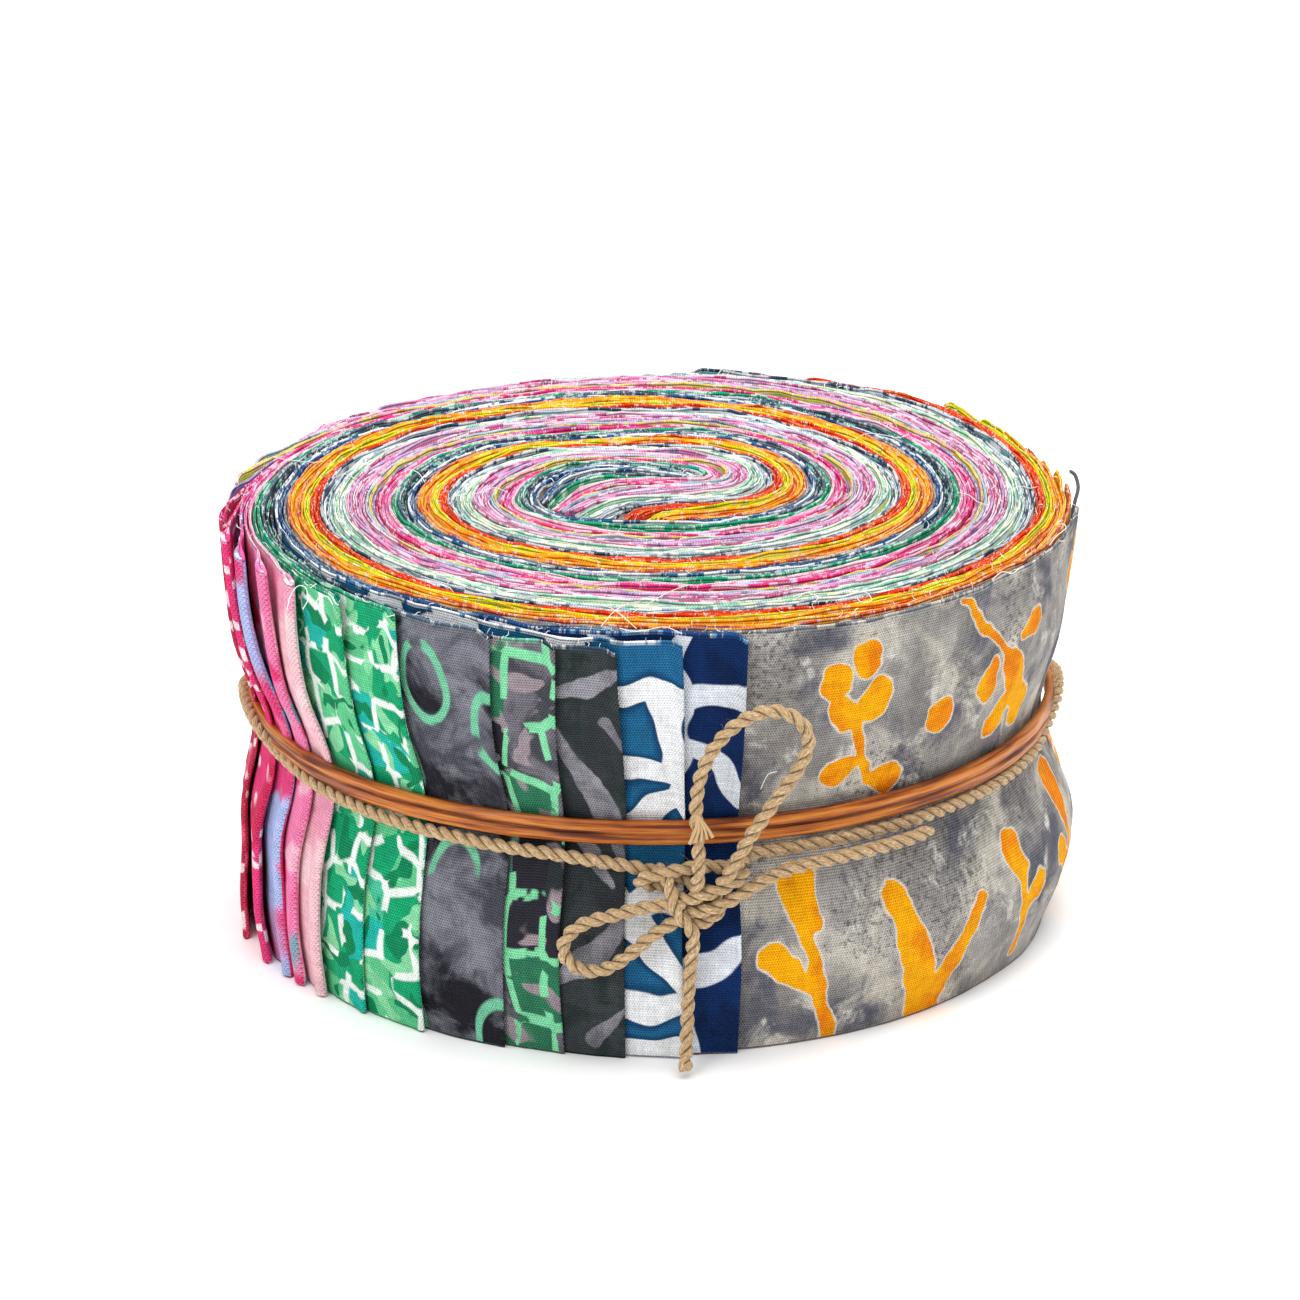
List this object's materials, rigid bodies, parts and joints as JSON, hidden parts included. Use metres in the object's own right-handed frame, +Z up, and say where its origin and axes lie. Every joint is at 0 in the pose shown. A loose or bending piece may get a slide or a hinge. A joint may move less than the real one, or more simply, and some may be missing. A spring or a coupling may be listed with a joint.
{
  "type": "jelly roll fabric strips",
  "caption": "Roll of doubled quilting cotton strips wound into a squat drum, held by a rubber band and a twine tied in a bow at the front",
  "frame": {"origin": "middle of the flat underside of the roll, on the surface it stands on", "axes": "+Z up along the roll's own axis and the strip width, -Y toward the bow and the knot, +X to the right seen from the bow"},
  "size_m": [0.1279, 0.1337, 0.0635],
  "materials": {
    "quilting_cotton": "plain weave printed cotton, matte",
    "rubber": "amber rubber band, slight sheen",
    "twine": "two-ply plant fibre twine, matte"
  },
  "bodies": {
    "root": {"fabric_roll": "quilting_cotton", "rubber_band": "rubber", "twine_ring": "twine", "twine_knot": "twine", "bow_loop_upper": "twine", "bow_loop_lower": "twine", "twine_end_front": "twine", "twine_end_side": "twine"}
  },
  "joints": []
}
